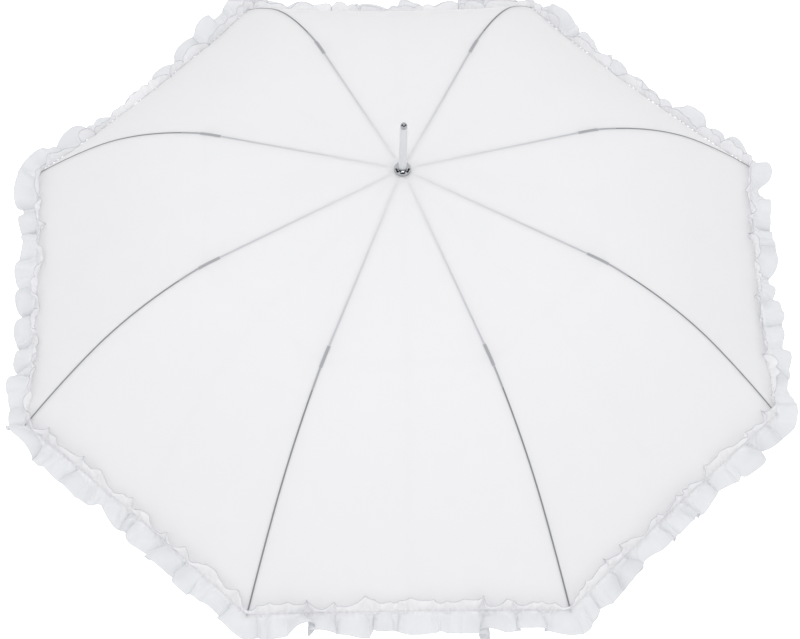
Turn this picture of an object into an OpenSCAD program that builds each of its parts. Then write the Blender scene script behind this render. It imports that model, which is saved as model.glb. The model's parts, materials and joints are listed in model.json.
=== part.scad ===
// Straight-handled parasol of eight ribs, shown open and upright.
// Units are millimetres. +Z runs up the shaft, and the origin is on the shaft's axis
// at the middle of the straight grip. Rib 1 lies 67.5 degrees clockwise from +X.
// The runner is modelled at the top of its travel, so every joint is at its open end.

/* [Ribs] */
// Length of a straight inner rib, from the notch ring to its elbow pin
inner_rib_len = 258; // [200:1:320]
// Slope of the inner ribs below level, in degrees
inner_rib_slope = 12; // [8:0.5:16]
// Length of the strongly bent first stretch of an outer rod
bend_len = 187; // [150:1:230]
// Angle that the first stretch turns through, in degrees
bend_angle = 25; // [15:1:32]
// Length of the gently bent last stretch of an outer rod
tail_len = 138; // [100:1:160]
// Angle that the last stretch turns through, in degrees
tail_angle = 6; // [3:1:10]
// Slope of an outer rod where it leaves its elbow, in degrees
rod_slope = 21; // [15:1:25]
// Distance from the elbow pin back to the stretcher's pin
pin_setback = 8; // [6:0.5:10]
// Angle between the inner rib and the line to the stretcher's pin, in degrees
pin_drop_angle = 1; // [1:0.1:2]
// Width of the inner rib's channel
channel_w = 3.2; // [2.6:0.1:4]
// Depth of the inner rib's channel
channel_h = 3.2; // [2.6:0.1:4]
// Sheet thickness of the inner rib's channel
channel_wall = 0.5; // [0.3:0.05:0.7]
// Diameter of an outer rod
rod_d = 3.2; // [2.4:0.1:4]
// Length of the crimped steel sleeve that holds the rod at its elbow
sleeve_len = 34; // [20:1:50]
// Diameter of the crimped sleeve
sleeve_d = 4.6; // [4:0.1:6]
// Length of the cap on the rod's tip
tip_cap_len = 12; // [8:1:18]
// Diameter of the cap on the rod's tip
tip_cap_d = 4.8; // [4:0.1:6]

/* [Elbow bracket] */
// Length of bracket behind the stretcher's pin
bracket_back = 14; // [10:1:20]
// Length of bracket beyond the elbow pin
bracket_front = 7; // [5:0.5:10]
// Sheet thickness of the bracket
bracket_wall = 0.7; // [0.5:0.05:1]
// Diameter of the elbow and stretcher pins
elbow_pin_d = 1.8; // [1.4:0.1:2.2]
// Outer diameter of the eyes on those pins
elbow_eye_d = 4; // [3.4:0.1:5]

/* [Shaft] */
// Outer diameter of the shaft tube
shaft_d = 10; // [8:0.5:12]
// Wall of the shaft tube
shaft_wall = 0.6; // [0.4:0.1:1]
// Bare shaft between the closed rib tips and the handle
tip_gap = 36; // [20:1:60]
// Depth of the shaft in the handle
shaft_seat = 62; // [40:1:80]

/* [Notch and runner] */
// Radius of the two wire rings that the ribs and stretchers hang on
ring_r = 10; // [9:0.5:13]
// Diameter of the ring wire
ring_wire_d = 1.2; // [1:0.1:1.6]
// Outer diameter of the eyes on the rings
ring_eye_d = 3.2; // [2.8:0.1:3.6]
// Thickness of those eyes
ring_eye_w = 1.5; // [1:0.1:2]
// Length of the notch's sleeve below its ribs
notch_sleeve_len = 12; // [8:1:20]
// Length of the runner's grip sleeve below its stretchers
runner_len = 40; // [30:1:55]
// Wall of the runner's grip sleeve, the running clearance included
runner_wall = 3.6; // [3.2:0.1:5]
// How far the finger flange stands out of the grip sleeve
flange_reach = 2.9; // [2:0.1:5]
// Thickness of the finger flange
flange_h = 3; // [2:0.5:5]

/* [Crown] */
// Diameter of the domed cap
cap_d = 21; // [19:0.5:26]
// Height of the domed cap
cap_h = 6.5; // [5:0.5:9]
// Height of the ferrule above the cap
ferrule_h = 77; // [60:1:95]
// How far the ferrule's foot stands out of the shaft
ferrule_lip = 0.1; // [0.05:0.05:1]
// Diameter of the ferrule at its top
ferrule_top_d = 9; // [7:0.1:10]
// Diameter of the ball on the ferrule
ball_d = 8.2; // [6:0.1:10]

/* [Catches] */
// Length of a catch's spring leaf
catch_len = 30; // [24:1:36]
// Thickness of the spring leaf
catch_leaf = 0.8; // [0.6:0.1:1]
// Width of a catch
catch_w = 1.6; // [1.2:0.1:2]
// How far a catch's nose stands out of the shaft
catch_reach = 2; // [1.5:0.1:2.2]
// Length of a catch's nose
nose_len = 9; // [6:1:12]
// Gap below the raised runner to the upper catch
catch_gap = 0.5; // [0.3:0.1:2]

/* [Handle] */
// Diameter of the straight grip
grip_d = 22; // [20:0.5:26]
// Length of the straight grip
grip_len = 96; // [80:1:120]
// Length of the shaped neck above the grip
neck_len = 38; // [28:1:50]
// Diameter at the top of the neck
neck_d = 15; // [14:0.5:18]
// Length of the rounded end below the grip
heel_len = 18; // [12:1:24]

/* [Cloth] */
// Thickness of the canopy cloth
cloth_t = 0.4; // [0.4:0.1:1]
// Gap between the ribs and the cloth
cloth_gap = 0.4; // [0.3:0.1:1]
// Gap between the shaft and the edge of the cloth at the crown
crown_gap = 0.8; // [0.6:0.1:2]
// Width of the gathered frill inside its seam
frill_header = 20; // [10:1:25]
// Width of the gathered frill outside its seam
frill_skirt = 34; // [25:1:50]
// Thickness of the frill, gathers included
frill_t = 2; // [1:0.5:8]
// Slope of the frill's skirt below level, in degrees
frill_slope = 12; // [0:1:60]
// Angle at which the frill's header stands off the cloth, in degrees
header_rise = 18; // [10:1:40]

/* [Fits] */
// Radial clearance of a running pin or shaft
run_gap = 0.07; // [0.05:0.01:0.1]
// Radial clearance of a seated part
seat_gap = 0.03; // [0.02:0.01:0.05]
// Side gap between a moving blade and its slot
side_gap = 0.35; // [0.25:0.05:0.5]

/* [Hidden] */
RIBS = 8;
RIB_STEP = 360 / RIBS;
FIRST_RIB = -1.5 * RIB_STEP;
CLOSED_ANGLE = 87;

function names(stem) = [for (i = [1:RIBS]) str(stem, "_", i)];

// Roundness of small and large round parts
FINE = 32;
SMOOTH = 64;
// A length longer than any cut needs to be
PAST = 1;
// Straight pieces that stand in for each curved stretch of the cloth's outline
BEND_STEPS = 8;
TAIL_STEPS = 4;

// Angles of the linkage: the stretcher mirrors the line from the ring to its pin
stretcher_len = inner_rib_len - pin_setback;
open_angle = inner_rib_slope + pin_drop_angle;
fold_angle = CLOSED_ANGLE - open_angle;

// Bend radii of the outer rod's two stretches
bend_r = bend_len / (bend_angle * PI / 180);
tail_r = tail_len / (tail_angle * PI / 180);

// Heights along the shaft, measured down from the notch ring's plane
ring_drop = 2 * stretcher_len * sin(open_angle);
closed_ring_drop = 2 * stretcher_len * sin(CLOSED_ANGLE);
runner_bottom_drop = ring_drop + runner_len + flange_h;
closed_bottom_drop = closed_ring_drop + runner_len + flange_h;
closed_tip_drop = inner_rib_len + bend_len + tail_len;
handle_top_drop = closed_tip_drop + tip_gap;

// Heights above the origin
grip_top = grip_len / 2;
handle_top = grip_top + neck_len;
hinge_z = handle_top + handle_top_drop;
runner_ring_z = hinge_z - ring_drop;
runner_bottom_z = hinge_z - runner_bottom_drop;

// Diameters that follow the shaft's
runner_d = shaft_d + 2 * runner_wall;
flange_d = runner_d + 2 * flange_reach;
ferrule_foot_d = shaft_d + 2 * ferrule_lip;
cloth_hole_r = shaft_d / 2 + crown_gap;

// The notch and the runner's head carry eyes of the same size in the same kind of slot
head_lip = 1.2;
head_rim = 0.4;
ring_bore_d = ring_wire_d + 2 * run_gap;
head_half = ring_wire_d / 2 + head_lip;
head_r = ring_r + ring_wire_d / 2 + head_rim;
groove_floor_r = ring_r - ring_wire_d / 2 - seat_gap;
groove_half = ring_wire_d / 2 + seat_gap;
eye_slot_w = ring_eye_w + 2 * side_gap;
eye_slot_r = ring_r - ring_eye_d / 2 - side_gap;

// The flat necks that join the eyes to their channels
neck_h = 2.4;
neck_end = 16;
channel_start = 10;

// Widths across the elbow: eye, bracket cheek and the cheek's outside
cheek_fit = 0.05;
cheek_in = channel_w / 2 + cheek_fit;
cheek_out = cheek_in + bracket_wall;
elbow_eye_w = 2 * (cheek_in - side_gap);
pin_drop = stretcher_len * sin(pin_drop_angle);
pin_along = stretcher_len * cos(pin_drop_angle);
channel_end = pin_along + elbow_eye_d / 2 - 1;
cheek_top = channel_h / 2;

// Height of the cloth's underside above the ribs' centre line
cloth_low = channel_h / 2 + bracket_wall + cloth_gap;
cloth_high = cloth_low + cloth_t;
// The frill lies this far above the cloth
frill_lift = 0.4;
// Share of a gore's radius that its flat middle line reaches
gore_in = cos(RIB_STEP / 2);
// Half of the seam gap between neighbouring cloth pieces
seam_half = 0.15;
// How far the two halves of a cloth piece lap over its rib
seam_lap = 0.05;

// Crown stack above the hinge plane
neck_rise = (ring_r - cloth_hole_r) * tan(inner_rib_slope);
cap_foot = neck_rise + cloth_high / cos(inner_rib_slope) + 0.3;
cap_top = cap_foot + cap_h;
shaft_top_z = hinge_z + cap_top;
ball_sink = 0.4;
ball_z = shaft_top_z + ferrule_h + ball_d / 2 - ball_sink;
peg_r = 1.8;

// Catches: the leaf swings on a cross pin inside the tube
bore_r = shaft_d / 2 - shaft_wall;
leaf_inset = 1.4;
leaf_r = bore_r - leaf_inset;
nose_tip_r = shaft_d / 2 + catch_reach;
catch_slot_w = catch_w + 2 * side_gap;
catch_pin_d = 1.4;
catch_eye_d = 2.4;
// The pivot's ends stay inside the shaft's outline, so the runner passes over them
catch_pin_len = 2 * sqrt(pow(shaft_d / 2, 2) - pow(leaf_r + catch_pin_d / 2, 2)) - run_gap;
catch_azimuth = -90;
top_nose_z = runner_bottom_z - catch_gap;
bottom_nose_z = hinge_z - closed_bottom_drop + flange_h + nose_len + 8;
stop_pin_d = 1.8;
stop_pin_z = runner_ring_z + head_half + stop_pin_d / 2 + 0.3;
stop_pin_len = shaft_d + 3.2;
notch_pin_z = hinge_z - head_half - notch_sleeve_len / 2;

// Width of the flat land around the shaft on top of the domed cap
dome_land = 1;

function rib_azimuth(i) = FIRST_RIB + (i - 1) * RIB_STEP;

// A point t along and n above the straight inner rib, as [radius, height over the hinge plane]
function inner_point(t, n) = [
    ring_r + t * cos(inner_rib_slope) + n * sin(inner_rib_slope),
    -t * sin(inner_rib_slope) + n * cos(inner_rib_slope)
];

// A point n above the outer rod where it has turned by u degrees in a stretch of radius r,
// which starts at p with slope a
function arc_point(p, a, r, u, n) = [
    p[0] + r * (cos(a) * sin(u) - sin(a) * (1 - cos(u))) + n * sin(a + u),
    p[1] - r * (sin(a) * sin(u) + cos(a) * (1 - cos(u))) + n * cos(a + u)
];

elbow_point = inner_point(inner_rib_len, 0);
bend_end = arc_point(elbow_point, rod_slope, bend_r, bend_angle, 0);
tail_slope = rod_slope + bend_angle;
rod_end_slope = tail_slope + tail_angle;
rod_end = arc_point(bend_end, tail_slope, tail_r, tail_angle, 0);

// The outline of the cloth over the outer rod, at height n above the rod
function outer_line(n) = concat(
    [for (k = [0:BEND_STEPS])
        arc_point(elbow_point, rod_slope, bend_r, bend_angle * k / BEND_STEPS, n)],
    [for (k = [1:TAIL_STEPS])
        arc_point(bend_end, tail_slope, tail_r, tail_angle * k / TAIL_STEPS, n)]
);

function reversed(list) = [for (k = [len(list) - 1:-1:0]) list[k]];

// A point s beyond the rod's end along a slope, n above it
function beyond_end(s, slope, n) = [
    rod_end[0] + s * cos(slope) + n * sin(slope),
    rod_end[1] - s * sin(slope) + n * cos(slope)
];

// ---------------------------------------------------------------- shared shapes

// Puts children in the frame of rib i: X outward, Z up, origin on the notch ring
module at_rib(i) {
    rotate([0, 0, rib_azimuth(i)])
        translate([ring_r, 0, hinge_z])
            children();
}

// A round pin across the rib's plane, at x and z
module across(d, len, x = 0, z = 0) {
    translate([x, 0, z])
        rotate([90, 0, 0])
            cylinder(h = len, d = d, center = true, $fn = FINE);
}

// A U-shaped channel along X from x0 to x1, open downward
module channel(x0, x1, w, h, wall) {
    difference() {
        translate([x0, -w / 2, -h / 2])
            cube([x1 - x0, w, h]);
        translate([x0 - PAST, -w / 2 + wall, -h / 2 - PAST])
            cube([x1 - x0 + 2 * PAST, w - 2 * wall, h - wall + PAST]);
    }
}

// A flat neck and eye at the ring end of a rib or stretcher
module ring_eye() {
    difference() {
        union() {
            across(ring_eye_d, ring_eye_w);
            translate([0, -ring_eye_w / 2, -neck_h / 2])
                cube([neck_end, ring_eye_w, neck_h]);
        }
        across(ring_bore_d, ring_eye_w + PAST);
    }
}

// A round bar of diameter d along an arc of radius r that bends downward by an angle
module arc_bar(r, angle, d) {
    translate([0, 0, -r])
        rotate([0, -90, -90])
            rotate_extrude(angle = angle, $fn = SMOOTH)
                translate([r, 0])
                    circle(d = d, $fn = FINE);
}

// Moves children to the end of such an arc
module after_arc(r, angle) {
    translate([r * sin(angle), 0, -r * (1 - cos(angle))])
        rotate([0, angle, 0])
            children();
}

// The slotted, grooved head that the notch and the runner share, centred on its ring
module ring_head() {
    difference() {
        cylinder(h = 2 * head_half, r = head_r, center = true, $fn = SMOOTH);
        difference() {
            cylinder(h = 2 * groove_half, r = head_r + PAST, center = true, $fn = SMOOTH);
            cylinder(h = 2 * groove_half + PAST, r = groove_floor_r, center = true, $fn = SMOOTH);
        }
        for (i = [1:RIBS])
            rotate([0, 0, rib_azimuth(i)])
                translate([eye_slot_r, -eye_slot_w / 2, -head_half - PAST])
                    cube([head_r, eye_slot_w, 2 * head_half + 2 * PAST]);
    }
}

module ring_wire() {
    rotate_extrude($fn = SMOOTH)
        translate([ring_r, 0])
            circle(d = ring_wire_d, $fn = FINE);
}

// Half a gore's width of cloth beside rib i, on the side given by side = 1 or -1.
// The outline is drawn at the rib, as [radius, height], and laid flat across the gore.
module half_gore(i, side, outline) {
    far = 2 * rod_end[0];
    flat = [for (p = outline) [p[0] * gore_in, p[1]]];
    rotate([0, 0, rib_azimuth(i) + side * RIB_STEP / 2])
        intersection() {
            translate([0, -side * seam_half, hinge_z])
                mirror([0, side > 0 ? 1 : 0, 0])
                    rotate([90, 0, 0])
                        mirror([0, 0, 1])
                            linear_extrude(far * tan(RIB_STEP / 2))
                                polygon(flat);
            rotate([0, 0, -side * RIB_STEP / 2])
                translate([0, side > 0 ? -seam_lap : seam_lap - far, 0])
                    cube([far, far, 2 * hinge_z]);
        }
}

module cloth_piece(i, outline) {
    half_gore(i, 1, outline);
    half_gore(i, -1, outline);
}

// ---------------------------------------------------------------- fixed parts

// Steel tube with two slots for the catches and holes for the cross pins
module shaft() {
    foot_z = handle_top - shaft_seat;
    color("whitesmoke")
        difference() {
            translate([0, 0, foot_z])
                cylinder(h = shaft_top_z - foot_z, d = shaft_d, $fn = SMOOTH);
            translate([0, 0, foot_z - PAST])
                cylinder(h = shaft_top_z - foot_z + 2 * PAST, r = bore_r, $fn = SMOOTH);
            for (z = [top_nose_z, bottom_nose_z])
                rotate([0, 0, catch_azimuth])
                    translate([0, -catch_slot_w / 2, z - nose_len - 4])
                        cube([shaft_d, catch_slot_w, nose_len + 8]);
            for (z = [top_nose_z, bottom_nose_z])
                rotate([0, 0, catch_azimuth])
                    across(catch_pin_d + 2 * seat_gap, 2 * shaft_d, leaf_r, z - catch_len);
            across(stop_pin_d + 2 * seat_gap, 2 * shaft_d, 0, stop_pin_z);
            across(stop_pin_d + 2 * seat_gap, 2 * shaft_d, 0, notch_pin_z);
        }
}

// Slotted disc fixed near the top of the shaft, which the ribs hang on
module top_notch() {
    sleeve_r = eye_slot_r;
    color("gainsboro")
        translate([0, 0, hinge_z])
            difference() {
                union() {
                    ring_head();
                    translate([0, 0, -head_half - notch_sleeve_len])
                        cylinder(h = notch_sleeve_len + PAST, r = sleeve_r, $fn = SMOOTH);
                }
                cylinder(
                    h = 4 * notch_sleeve_len,
                    d = shaft_d + 2 * seat_gap,
                    center = true,
                    $fn = SMOOTH
                );
                across(stop_pin_d + 2 * seat_gap, 4 * sleeve_r, 0, notch_pin_z - hinge_z);
            }
}

module notch_ring() {
    color("silver")
        translate([0, 0, hinge_z])
            ring_wire();
}

// Polished dome that presses the cloth down on the notch
module crown_cap() {
    rim_h = 1.2;
    rise = cap_h - rim_h;
    land_r = shaft_d / 2 + dome_land;
    color("silver")
        translate([0, 0, hinge_z + cap_foot])
            difference() {
                rotate_extrude($fn = SMOOTH)
                    polygon(concat(
                        [[0, 0], [cap_d / 2, 0]],
                        [for (a = [0:10:90])
                            [land_r + (cap_d / 2 - land_r) * cos(a), rim_h + rise * sin(a)]],
                        [[0, cap_h]]
                    ));
                cylinder(h = 3 * cap_h, d = shaft_d + 2 * seat_gap, center = true, $fn = SMOOTH);
            }
}

// Tapered white spike on the end of the shaft, with a spigot in the tube and a peg for the ball
module ferrule() {
    spigot_len = 12;
    peg_len = ball_d / 2;
    collar_h = 1.5;
    color("white")
        translate([0, 0, shaft_top_z])
            rotate_extrude($fn = SMOOTH)
                polygon([
                    [0, -spigot_len],
                    [bore_r - seat_gap - 0.5, -spigot_len],
                    [bore_r - seat_gap, -spigot_len + 0.5],
                    [bore_r - seat_gap, 0],
                    [ferrule_foot_d / 2, 0],
                    [ferrule_foot_d / 2, collar_h],
                    [ferrule_top_d / 2, ferrule_h - 0.6],
                    [ferrule_top_d / 2 - 0.6, ferrule_h],
                    [peg_r, ferrule_h],
                    [peg_r, ferrule_h + peg_len],
                    [0, ferrule_h + peg_len]
                ]);
}

// Polished ball pressed on the ferrule's peg
module tip_ball() {
    color("silver")
        difference() {
            translate([0, 0, ball_z])
                sphere(d = ball_d, $fn = SMOOTH);
            translate([0, 0, shaft_top_z + ferrule_h - PAST])
                cylinder(h = PAST + ball_d / 2 + seat_gap, r = peg_r + seat_gap, $fn = FINE);
            translate([0, 0, shaft_top_z + ferrule_h - ball_d])
                cylinder(h = ball_d, r = ball_d, $fn = FINE);
        }
}

// Steel pins through the shaft: notch pin, runner stop, and a pivot for each catch
module cross_pins() {
    color("silver") {
        across(stop_pin_d, stop_pin_len, 0, notch_pin_z);
        across(stop_pin_d, stop_pin_len, 0, stop_pin_z);
        for (z = [top_nose_z, bottom_nose_z])
            rotate([0, 0, catch_azimuth])
                across(catch_pin_d, catch_pin_len, leaf_r, z - catch_len);
    }
}

// Turned white handle: straight grip, shaped neck with a bead, and rounded heel
module handle() {
    r = grip_d / 2;
    top_r = neck_d / 2;
    bead_h = 5;
    color("white")
        difference() {
            rotate_extrude($fn = SMOOTH)
                polygon(concat(
                    [[0, -grip_top - heel_len]],
                    [for (a = [75:-15:15])
                        [r * cos(a), -grip_top - heel_len * sin(a)]],
                    [[r, -grip_top], [r, grip_top]],
                    [for (k = [1:7])
                        [top_r + (r - top_r) * (1 + cos(180 * k / 8)) / 2,
                         grip_top + (neck_len - bead_h) * k / 8]],
                    [[top_r, handle_top - bead_h]],
                    [for (a = [-60:30:60])
                        [top_r + 1.6 * cos(a), handle_top - bead_h / 2 + bead_h / 2 * sin(a)]],
                    [[top_r, handle_top], [0, handle_top]]
                ));
            translate([0, 0, handle_top - shaft_seat])
                cylinder(h = shaft_seat + PAST, d = shaft_d + 2 * seat_gap, $fn = SMOOTH);
        }
}

// ---------------------------------------------------------------- catches

// Spring leaf on a pivot pin below, with a wedge nose above that stands out of the shaft
module catch_lever(nose_z) {
    leaf_foot = catch_len - nose_len;
    rotate([0, 0, catch_azimuth])
        translate([0, 0, nose_z - catch_len])
            difference() {
                union() {
                    across(catch_eye_d, catch_w, leaf_r);
                    translate([leaf_r - catch_leaf / 2, -catch_w / 2, 0])
                        cube([catch_leaf, catch_w, catch_len]);
                    translate([0, catch_w / 2, 0])
                        rotate([90, 0, 0])
                            linear_extrude(catch_w)
                                polygon([
                                    [leaf_r, leaf_foot - 1],
                                    [nose_tip_r, catch_len - 2],
                                    [nose_tip_r, catch_len],
                                    [leaf_r, catch_len]
                                ]);
                }
                across(catch_pin_d + 2 * run_gap, catch_w + PAST, leaf_r);
            }
}

module top_catch() {
    color("silver") catch_lever(top_nose_z);
}

module bottom_catch() {
    color("silver") catch_lever(bottom_nose_z);
}

// ---------------------------------------------------------------- runner

// Moulded slider: slotted head, grip sleeve and finger flange, bored to run on the shaft
module runner() {
    groove_w = catch_w + 2 * side_gap;
    total = head_half + runner_len + flange_h;
    color("white")
        translate([0, 0, runner_ring_z])
            difference() {
                union() {
                    ring_head();
                    translate([0, 0, -head_half])
                        cylinder(h = 2 * head_half, r = eye_slot_r, $fn = SMOOTH);
                    translate([0, 0, -runner_len])
                        cylinder(h = runner_len - head_half + 0.01, d = runner_d, $fn = SMOOTH);
                    translate([0, 0, -runner_len - flange_h])
                        cylinder(h = flange_h, d = flange_d, $fn = SMOOTH);
                }
                cylinder(h = 3 * total, d = shaft_d + 2 * run_gap, center = true, $fn = SMOOTH);
                rotate([0, 0, catch_azimuth])
                    translate([0, -groove_w / 2, -total - PAST])
                        cube([nose_tip_r + side_gap, groove_w, 2 * total]);
            }
}

module runner_ring() {
    color("silver")
        translate([0, 0, runner_ring_z])
            ring_wire();
}

// ---------------------------------------------------------------- ribs and stretchers

// Steel channel with an eye on the notch ring and a riveted elbow bracket
module rib_inner(i) {
    back = pin_along - bracket_back;
    front = inner_rib_len + bracket_front;
    lobe_r = elbow_eye_d / 2 + 0.6;
    color("lightgray")
        at_rib(i)
            rotate([0, inner_rib_slope, 0]) {
                difference() {
                    union() {
                        ring_eye();
                        channel(channel_start, channel_end, channel_w, channel_h, channel_wall);
                        for (side = [-1, 1])
                            translate([0, side * (cheek_in + bracket_wall / 2), 0])
                                cheek_plate(back, front, lobe_r);
                        translate([back, -cheek_out, channel_h / 2 - 0.01])
                            cube([channel_end - back, 2 * cheek_out, bracket_wall + 0.01]);
                    }
                    across(ring_bore_d, channel_w, 0, 0);
                }
                across(elbow_pin_d, 2 * cheek_out - 0.02, pin_along, -pin_drop);
                across(elbow_pin_d, 2 * cheek_out - 0.02, inner_rib_len, 0);
            }
}

// One cheek of the elbow bracket: a plate from back to front with a lobe around the low pin
module cheek_plate(back, front, lobe_r) {
    overlap = 0.08;
    rotate([90, 0, 0])
        translate([0, 0, -bracket_wall / 2 - overlap / 2])
            linear_extrude(bracket_wall + overlap)
                polygon([
                    [back, -channel_h / 2 + 0.4],
                    [pin_along - lobe_r - 2, -channel_h / 2],
                    [pin_along - lobe_r + 0.8, -pin_drop - lobe_r],
                    [pin_along + lobe_r - 0.8, -pin_drop - lobe_r],
                    [inner_rib_len + lobe_r, -lobe_r],
                    [front, -lobe_r + 1],
                    [front, cheek_top - 1.4],
                    [inner_rib_len, cheek_top],
                    [back, cheek_top]
                ]);
}

// Glass-fibre rod bent to the dome's outline, with its crimped elbow sleeve and tip cap
module rib_outer(i) {
    sleeve_angle = sleeve_len / bend_len * bend_angle;
    eye_neck = bracket_front + 2;
    lap = 1.5;
    lap_angle = 0.1;
    neck_angle = eye_neck / bend_len * bend_angle;
    cap_angle = tip_cap_len / tail_len * tail_angle;
    color("dimgray")
        at_rib(i)
            translate([elbow_point[0] - ring_r, 0, elbow_point[1]])
                rotate([0, rod_slope, 0]) {
                    difference() {
                        union() {
                            across(elbow_eye_d, elbow_eye_w);
                            translate([0, -elbow_eye_w / 2, -neck_h / 2])
                                cube([eye_neck + lap, elbow_eye_w, neck_h]);
                        }
                        across(elbow_pin_d + 2 * run_gap, channel_w + PAST);
                    }
                    after_arc(bend_r, neck_angle)
                        arc_bar(bend_r, sleeve_angle - neck_angle, sleeve_d);
                    after_arc(bend_r, sleeve_angle - lap_angle)
                        arc_bar(bend_r, bend_angle - sleeve_angle + lap_angle, rod_d);
                    after_arc(bend_r, bend_angle)
                        arc_bar(tail_r, tail_angle - cap_angle, rod_d);
                    after_arc(bend_r, bend_angle)
                        after_arc(tail_r, tail_angle - cap_angle)
                            arc_bar(tail_r, cap_angle, tip_cap_d);
                }
}

// Steel channel from the runner's ring up to the elbow bracket, with an eye at each end
module stretcher(i) {
    w = 2.6;
    h = 2.6;
    end = stretcher_len - 8;
    color("silver")
        rotate([0, 0, rib_azimuth(i)])
            translate([ring_r, 0, runner_ring_z])
                rotate([0, -open_angle, 0])
                    difference() {
                        union() {
                            ring_eye();
                            channel(channel_start, end, w, h, channel_wall);
                            across(elbow_eye_d, elbow_eye_w, stretcher_len);
                            translate([end - 6, -elbow_eye_w / 2 + 0.3, -neck_h / 2])
                                cube([14, elbow_eye_w - 0.6, neck_h]);
                        }
                        across(elbow_pin_d + 2 * run_gap, channel_w + PAST, stretcher_len);
                    }
}

// ---------------------------------------------------------------- cloth

// Inner part of the canopy over rib i, from the crown to the elbow
module canopy_inner(i) {
    hole_t = -(ring_r - cloth_hole_r) / cos(inner_rib_slope);
    color("white")
        cloth_piece(i, [
            inner_point(hole_t, cloth_low),
            inner_point(inner_rib_len - seam_half, cloth_low),
            inner_point(inner_rib_len - seam_half, cloth_high),
            inner_point(hole_t, cloth_high)
        ]);
}

// Outer part of the canopy over rib i, from the elbow to the hem
module canopy_outer(i) {
    color("white")
        cloth_piece(i, concat(
            outer_line(cloth_low),
            reversed(outer_line(cloth_high))
        ));
}

// Gathered frill on the hem beside rib i: a header standing off the canopy and a skirt held out
module frill(i) {
    low = cloth_high + frill_lift;
    high = low + frill_t;
    header_slope = rod_end_slope + header_rise;
    color("white")
        cloth_piece(i, [
            beyond_end(-frill_header, header_slope, low),
            beyond_end(0, rod_end_slope, low),
            beyond_end(frill_skirt, frill_slope, low - frill_t / 2),
            beyond_end(frill_skirt, frill_slope, high),
            beyond_end(0, rod_end_slope, high),
            beyond_end(-frill_header, header_slope, high)
        ]);
}

// ---------------------------------------------------------------- the parasol

shaft();
top_notch();
notch_ring();
crown_cap();
ferrule();
tip_ball();
cross_pins();
handle();
top_catch();
bottom_catch();
runner();
runner_ring();
for (i = [1:RIBS]) {
    rib_inner(i);
    rib_outer(i);
    stretcher(i);
    canopy_inner(i);
    canopy_outer(i);
    frill(i);
}
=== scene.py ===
# %% [markdown]
# # Parasol with a gathered frill
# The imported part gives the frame: where every rib, rod, stretcher and the shaft lies, and how
# they move. This file adds the looks: the cloth canopy, its gathered frill, the finishes of the
# metal, plastic and wood, and the studio that the parasol is shown in. Lengths are in metres.

import json
import math

import bpy
import numpy as np
from mathutils import Matrix, Vector


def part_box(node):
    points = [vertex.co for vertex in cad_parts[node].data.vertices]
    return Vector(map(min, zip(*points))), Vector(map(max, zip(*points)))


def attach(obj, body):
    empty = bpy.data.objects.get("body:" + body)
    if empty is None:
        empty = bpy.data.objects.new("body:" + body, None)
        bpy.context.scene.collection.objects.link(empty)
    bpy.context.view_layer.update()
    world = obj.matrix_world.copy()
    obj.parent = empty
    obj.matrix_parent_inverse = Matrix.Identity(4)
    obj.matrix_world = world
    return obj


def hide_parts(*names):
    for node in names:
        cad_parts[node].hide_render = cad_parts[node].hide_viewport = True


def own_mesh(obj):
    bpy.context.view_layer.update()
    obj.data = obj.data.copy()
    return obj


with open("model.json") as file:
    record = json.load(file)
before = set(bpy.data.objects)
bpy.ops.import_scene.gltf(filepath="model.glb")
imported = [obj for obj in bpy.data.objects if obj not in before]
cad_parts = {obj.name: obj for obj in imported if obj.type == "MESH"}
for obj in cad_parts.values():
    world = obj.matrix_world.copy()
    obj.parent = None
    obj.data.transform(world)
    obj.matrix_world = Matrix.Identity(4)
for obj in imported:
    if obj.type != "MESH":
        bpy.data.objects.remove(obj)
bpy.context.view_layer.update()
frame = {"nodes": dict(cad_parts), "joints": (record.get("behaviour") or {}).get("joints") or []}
joints = {j["name"]: j for j in frame["joints"]}
nodes = frame["nodes"]
RIBS = 8
STEP = math.tau / RIBS
MM = 0.001

# %% [markdown]
# ## Sizes
# The joints say where the ribs hang and where they bend. The cloth lies a little above the ribs,
# along the same straight and bent stretches, so its outline is worked out from them.

# %% Sizes from the frame
fold_at = Vector(joints["fold"]["pos_m"])
elbow_at = Vector(joints["rod_1_flex"]["pos_m"])
RING_R = math.hypot(fold_at.x, fold_at.y)
HINGE_Z = fold_at.z
ELBOW_R = math.hypot(elbow_at.x, elbow_at.y)
FIRST_RIB = math.atan2(fold_at.y, fold_at.x)
INNER_LEN = math.hypot(ELBOW_R - RING_R, HINGE_Z - elbow_at.z)
INNER_SLOPE = math.atan2(HINGE_Z - elbow_at.z, ELBOW_R - RING_R)

# The outer rod: a strongly bent stretch, then a gentle one
ROD_SLOPE = math.radians(21)
BEND_LEN, BEND_ANGLE = 187 * MM, math.radians(25)
TAIL_LEN, TAIL_ANGLE = 138 * MM, math.radians(6)
ROD_END = INNER_LEN + BEND_LEN + TAIL_LEN
SLEEVE_END = INNER_LEN + 34 * MM
TIP_CAP_LEN = 12 * MM

# Height of the cloth over the ribs' centre line, and the cloth's own thickness
CLOTH_LIFT = 2.95 * MM
CLOTH_T = 0.25 * MM
CLOTH_HOLE_R = 5.9 * MM
ELBOW_EASE = 12 * MM
GORE_EASE = 60 * MM

# Width of the frill on either side of its seam
HEADER, SKIRT = 19 * MM, 28 * MM

print("ring", round(RING_R, 4), "elbow", round(ELBOW_R, 4), "rib end", round(ROD_END, 4))


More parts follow.
